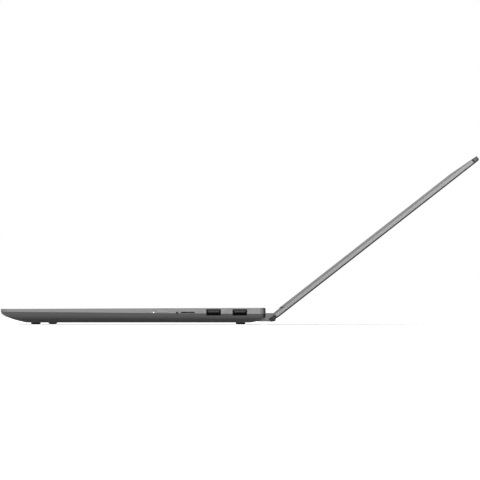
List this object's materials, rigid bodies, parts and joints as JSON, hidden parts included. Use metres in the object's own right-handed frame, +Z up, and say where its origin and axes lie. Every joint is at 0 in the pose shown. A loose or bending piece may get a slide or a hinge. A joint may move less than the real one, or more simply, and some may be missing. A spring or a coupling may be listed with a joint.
{
  "type": "laptop computer",
  "caption": "Slim convertible laptop, lid leaning back on two-axis hinge links, with wedge base, curved-in underside, ports, keyboard and touchpad.",
  "frame": {"origin": "on the table, under the middle of the open laptop's bounding box", "axes": "+X towards the laptop's right-hand side, +Y towards its rear, +Z up"},
  "size_m": [0.356, 0.4542, 0.1601],
  "materials": {
    "upper_aluminium": "bead-blasted, anodised",
    "lower_aluminium": "bead-blasted, anodised, in shade of the crease",
    "lid_aluminium": "bead-blasted, anodised",
    "screw_steel": "blackened",
    "foot_rubber": "matte moulded",
    "gasket_rubber": "matte",
    "keyboard_frame_aluminium": "anodised",
    "keyboard_plate_steel": "black-coated",
    "key_plastic": "fine-textured ABS",
    "touchpad_glass": "etched, opaque",
    "button_aluminium": "anodised",
    "port_steel": "bright",
    "port_plastic": "moulded",
    "lamp_plastic": "clear light guide",
    "circuit_board": "solder mask",
    "flex_cable": "polyimide",
    "chip_package": "moulded epoxy",
    "heat_pipe_copper": "copper",
    "fin_aluminium": "plain",
    "fan_plastic": "moulded",
    "battery_foil": "film-wrapped laminated pouches",
    "hinge_steel": "stamped",
    "shaft_steel": "ground",
    "link_metal": "satin",
    "display_glass": "coated, opaque when off",
    "display_layers": "laminated films",
    "chin_aluminium": "anodised",
    "camera_plastic": "moulded"
  },
  "bodies": {
    "base": {"top_case": "upper_aluminium", "bottom_case": "lower_aluminium", "bottom_screws": "screw_steel", "front_feet": "foot_rubber", "rear_feet": "foot_rubber", "keyboard_frame": "keyboard_frame_aluminium", "keyboard_plate": "keyboard_plate_steel", "usb_a_shells": "port_steel", "usb_a_tongues": "port_plastic", "card_reader": "port_steel", "status_lamp": "lamp_plastic", "usb_c_shells": "port_steel", "usb_c_tongues": "port_plastic", "hdmi_shell": "port_steel", "hdmi_tongue": "port_plastic", "audio_jack": "port_plastic", "main_board": "circuit_board", "side_board": "circuit_board", "board_ribbon": "flex_cable", "processor": "chip_package", "heat_pipe": "heat_pipe_copper", "heat_sink_fins": "fin_aluminium", "fan_housings": "fan_plastic", "battery_pack": "battery_foil", "solid_state_drive": "chip_package", "memory_modules": "chip_package", "wireless_card": "chip_package", "speakers": "fan_plastic", "hinge_mounts": "hinge_steel", "hinge_mount_screws": "screw_steel", "hinge_shafts": "shaft_steel"},
    "function_row_keys": {"function_row": "key_plastic"},
    "number_row_keys": {"number_row": "key_plastic"},
    "upper_row_keys": {"upper_row": "key_plastic"},
    "home_row_keys": {"home_row": "key_plastic"},
    "lower_row_keys": {"lower_row": "key_plastic"},
    "bottom_row_keys": {"bottom_row": "key_plastic"},
    "space_bar_body": {"space_bar": "key_plastic"},
    "enter_key_body": {"enter_key": "key_plastic"},
    "arrow_keys_body": {"arrow_keys": "key_plastic"},
    "number_pad_body": {"number_pad": "key_plastic"},
    "touchpad_body": {"touchpad": "touchpad_glass"},
    "power_button_body": {"power_button": "button_aluminium"},
    "left_rotor": {"fan_rotor_left": "fan_plastic"},
    "right_rotor": {"fan_rotor_right": "fan_plastic"},
    "links": {"hinge_link_left": "link_metal", "hinge_link_right": "link_metal"},
    "lid": {"lid_cover": "lid_aluminium", "display_panel": "display_layers", "cover_glass": "display_glass", "glass_gasket": "gasket_rubber", "chin_strip": "chin_aluminium", "lid_hinge_leaves": "hinge_steel", "lid_leaf_screws": "screw_steel", "lid_shafts": "shaft_steel", "camera_module": "camera_plastic", "display_cable": "flex_cable"},
    "shutter": {"camera_shutter": "camera_plastic"}
  },
  "joints": [
    {"name": "function_row_press", "type": "slide", "parent": "base", "child": "function_row_keys", "axis": [0, -0.0041, 1], "range_m": [-0.0013, 0], "stiffness_N_per_m": 450, "springref_m": 0.0008},
    {"name": "number_row_press", "type": "slide", "parent": "base", "child": "number_row_keys", "axis": [0, -0.0041, 1], "range_m": [-0.0013, 0], "stiffness_N_per_m": 450, "springref_m": 0.0008},
    {"name": "upper_row_press", "type": "slide", "parent": "base", "child": "upper_row_keys", "axis": [0, -0.0041, 1], "range_m": [-0.0013, 0], "stiffness_N_per_m": 450, "springref_m": 0.0008},
    {"name": "home_row_press", "type": "slide", "parent": "base", "child": "home_row_keys", "axis": [0, -0.0041, 1], "range_m": [-0.0013, 0], "stiffness_N_per_m": 450, "springref_m": 0.0008},
    {"name": "lower_row_press", "type": "slide", "parent": "base", "child": "lower_row_keys", "axis": [0, -0.0041, 1], "range_m": [-0.0013, 0], "stiffness_N_per_m": 450, "springref_m": 0.0008},
    {"name": "bottom_row_press", "type": "slide", "parent": "base", "child": "bottom_row_keys", "axis": [0, -0.0041, 1], "range_m": [-0.0013, 0], "stiffness_N_per_m": 450, "springref_m": 0.0008},
    {"name": "space_bar_press", "type": "slide", "parent": "base", "child": "space_bar_body", "axis": [0, -0.0041, 1], "range_m": [-0.0013, 0], "stiffness_N_per_m": 450, "springref_m": 0.0008},
    {"name": "enter_key_press", "type": "slide", "parent": "base", "child": "enter_key_body", "axis": [0, -0.0041, 1], "range_m": [-0.0013, 0], "stiffness_N_per_m": 450, "springref_m": 0.0008},
    {"name": "arrow_keys_press", "type": "slide", "parent": "base", "child": "arrow_keys_body", "axis": [0, -0.0041, 1], "range_m": [-0.0013, 0], "stiffness_N_per_m": 450, "springref_m": 0.0008},
    {"name": "number_pad_press", "type": "slide", "parent": "base", "child": "number_pad_body", "axis": [0, -0.0041, 1], "range_m": [-0.0013, 0], "stiffness_N_per_m": 450, "springref_m": 0.0008},
    {"name": "touchpad_click", "type": "hinge", "parent": "base", "child": "touchpad_body", "pos_m": [-0.03, -0.12308, 0.01456], "axis": [1, 0, 0], "range_deg": [0, 0.35], "stiffness_Nm_per_rad": 8, "springref_deg": -0.29},
    {"name": "power_button_press", "type": "slide", "parent": "base", "child": "power_button_body", "axis": [-1, 0, 0], "range_m": [0, 0.0004], "stiffness_N_per_m": 1500, "springref_m": -0.0003},
    {"name": "left_fan_spin", "type": "hinge", "parent": "base", "child": "left_rotor", "pos_m": [-0.06, -0.03008, 0.006], "axis": [0, 0, 1], "continuous": true},
    {"name": "right_fan_spin", "type": "hinge", "parent": "base", "child": "right_rotor", "pos_m": [0.06, -0.03008, 0.006], "axis": [0, 0, 1], "continuous": true},
    {"name": "links_turn", "type": "hinge", "parent": "base", "child": "links", "pos_m": [0, 0.01992, 0.00661], "axis": [-1, 0, 0], "range_deg": [-90, 90]},
    {"name": "lid_turn", "type": "hinge", "parent": "links", "child": "lid", "pos_m": [0, 0.03151, 0.00661], "axis": [-1, 0, 0], "range_deg": [-52.22, 52.22]},
    {"name": "shutter_slide", "type": "slide", "parent": "lid", "child": "shutter", "axis": [1, 0, 0], "range_m": [0, 0.0023]}
  ],
  "couplings": [
    {"joint": "lid_turn", "follows": "links_turn", "ratio": 0.58019}
  ]
}
